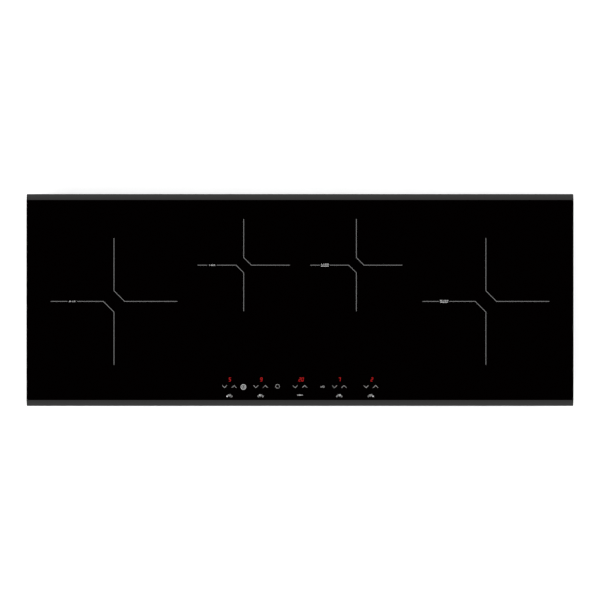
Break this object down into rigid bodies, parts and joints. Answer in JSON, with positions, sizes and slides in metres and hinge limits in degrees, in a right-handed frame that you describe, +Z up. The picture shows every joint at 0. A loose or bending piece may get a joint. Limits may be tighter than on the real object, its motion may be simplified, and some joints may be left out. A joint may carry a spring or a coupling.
{
  "type": "induction hob",
  "caption": "Built-in induction hob: a wide black glass plate with bevelled long edges over a flat steel casing, with cooking zones and touch controls along the front.",
  "frame": {"origin": "on the underside of the casing, below the middle of the glass", "axes": "+X to the user's right along the glass, +Y away from the user, +Z up out of the glass"},
  "size_m": [0.9, 0.349, 0.056],
  "materials": {
    "glass_black": "polished black glass-ceramic, opaque, ground bevel at the front and rear",
    "foam_black": "closed-cell foam tape",
    "galvanised_steel": "hot-dip galvanised sheet with a fine spangle",
    "zinc_steel": "bright zinc plate",
    "aluminium_sheet": "mill finish",
    "white_nylon": "glass-filled nylon",
    "copper_litz": "enamelled copper litz",
    "mica": "pressed mica paper",
    "black_plastic": "moulded, fine texture",
    "grey_plastic": "moulded",
    "board_green": "solder-masked board",
    "terminal_cream": "moulded"
  },
  "bodies": {
    "root": {"base_tray": "galvanised_steel", "blower_case_left": "black_plastic", "blower_case_right": "black_plastic", "blower_cover_left": "black_plastic", "blower_cover_right": "black_plastic", "board_tray_left": "black_plastic", "board_tray_right": "black_plastic", "cable_bush": "black_plastic", "carrier_left_large": "white_nylon", "carrier_left_small": "white_nylon", "carrier_right_large": "white_nylon", "carrier_right_small": "white_nylon", "casing_screw_1": "zinc_steel", "casing_screw_2": "zinc_steel", "casing_screw_3": "zinc_steel", "casing_screw_4": "zinc_steel", "casing_screw_5": "zinc_steel", "casing_screw_6": "zinc_steel", "coil_plate": "aluminium_sheet", "control_board": "board_green", "control_case": "black_plastic", "cooktop_glass": "glass_black", "filter_board": "board_green", "heat_sink_left": "aluminium_sheet", "heat_sink_right": "aluminium_sheet", "insulator_left_large": "mica", "insulator_left_small": "mica", "insulator_right_large": "mica", "insulator_right_small": "mica", "light_guide": "black_plastic", "power_board_left": "board_green", "power_board_right": "board_green", "rail_front": "galvanised_steel", "rail_left": "galvanised_steel", "rail_rear": "galvanised_steel", "rail_right": "galvanised_steel", "seal_front": "foam_black", "seal_left": "foam_black", "seal_rear": "foam_black", "seal_right": "foam_black", "sensor_left_large": "aluminium_sheet", "sensor_left_small": "aluminium_sheet", "sensor_right_large": "aluminium_sheet", "sensor_right_small": "aluminium_sheet", "terminal_block": "terminal_cream", "terminal_cover": "black_plastic", "winding_left_large": "copper_litz", "winding_left_small": "copper_litz", "winding_right_large": "copper_litz", "winding_right_small": "copper_litz"},
    "rotor_left": {"impeller_left": "grey_plastic"},
    "rotor_right": {"impeller_right": "grey_plastic"},
    "lift_left_front": {"clamp_screw_left_front": "zinc_steel"},
    "arm_left_front": {"clamp_arm_left_front": "zinc_steel"},
    "lift_left_rear": {"clamp_screw_left_rear": "zinc_steel"},
    "arm_left_rear": {"clamp_arm_left_rear": "zinc_steel"},
    "lift_right_front": {"clamp_screw_right_front": "zinc_steel"},
    "arm_right_front": {"clamp_arm_right_front": "zinc_steel"},
    "lift_right_rear": {"clamp_screw_right_rear": "zinc_steel"},
    "arm_right_rear": {"clamp_arm_right_rear": "zinc_steel"}
  },
  "joints": [
    {"name": "rotor_left_spin", "type": "hinge", "parent": "root", "child": "rotor_left", "pos_m": [-0.184, 0.09866, 0.012], "axis": [0, 0, 1], "continuous": true},
    {"name": "rotor_right_spin", "type": "hinge", "parent": "root", "child": "rotor_right", "pos_m": [0.246, 0.09866, 0.012], "axis": [0, 0, 1], "continuous": true},
    {"name": "clamp_left_front_lift", "type": "slide", "parent": "root", "child": "lift_left_front", "axis": [0, 0, 1], "range_m": [0, 0.012]},
    {"name": "clamp_left_front_swing", "type": "hinge", "parent": "lift_left_front", "child": "arm_left_front", "pos_m": [-0.428, -0.095, 0.0053], "axis": [0, 0, 1], "range_deg": [0, 90]},
    {"name": "clamp_left_rear_lift", "type": "slide", "parent": "root", "child": "lift_left_rear", "axis": [0, 0, 1], "range_m": [0, 0.012]},
    {"name": "clamp_left_rear_swing", "type": "hinge", "parent": "lift_left_rear", "child": "arm_left_rear", "pos_m": [-0.428, 0.095, 0.0053], "axis": [0, 0, -1], "range_deg": [0, 90]},
    {"name": "clamp_right_front_lift", "type": "slide", "parent": "root", "child": "lift_right_front", "axis": [0, 0, 1], "range_m": [0, 0.012]},
    {"name": "clamp_right_front_swing", "type": "hinge", "parent": "lift_right_front", "child": "arm_right_front", "pos_m": [0.428, -0.095, 0.0053], "axis": [0, 0, -1], "range_deg": [0, 90]},
    {"name": "clamp_right_rear_lift", "type": "slide", "parent": "root", "child": "lift_right_rear", "axis": [0, 0, 1], "range_m": [0, 0.012]},
    {"name": "clamp_right_rear_swing", "type": "hinge", "parent": "lift_right_rear", "child": "arm_right_rear", "pos_m": [0.428, 0.095, 0.0053], "axis": [0, 0, 1], "range_deg": [0, 90]}
  ]
}
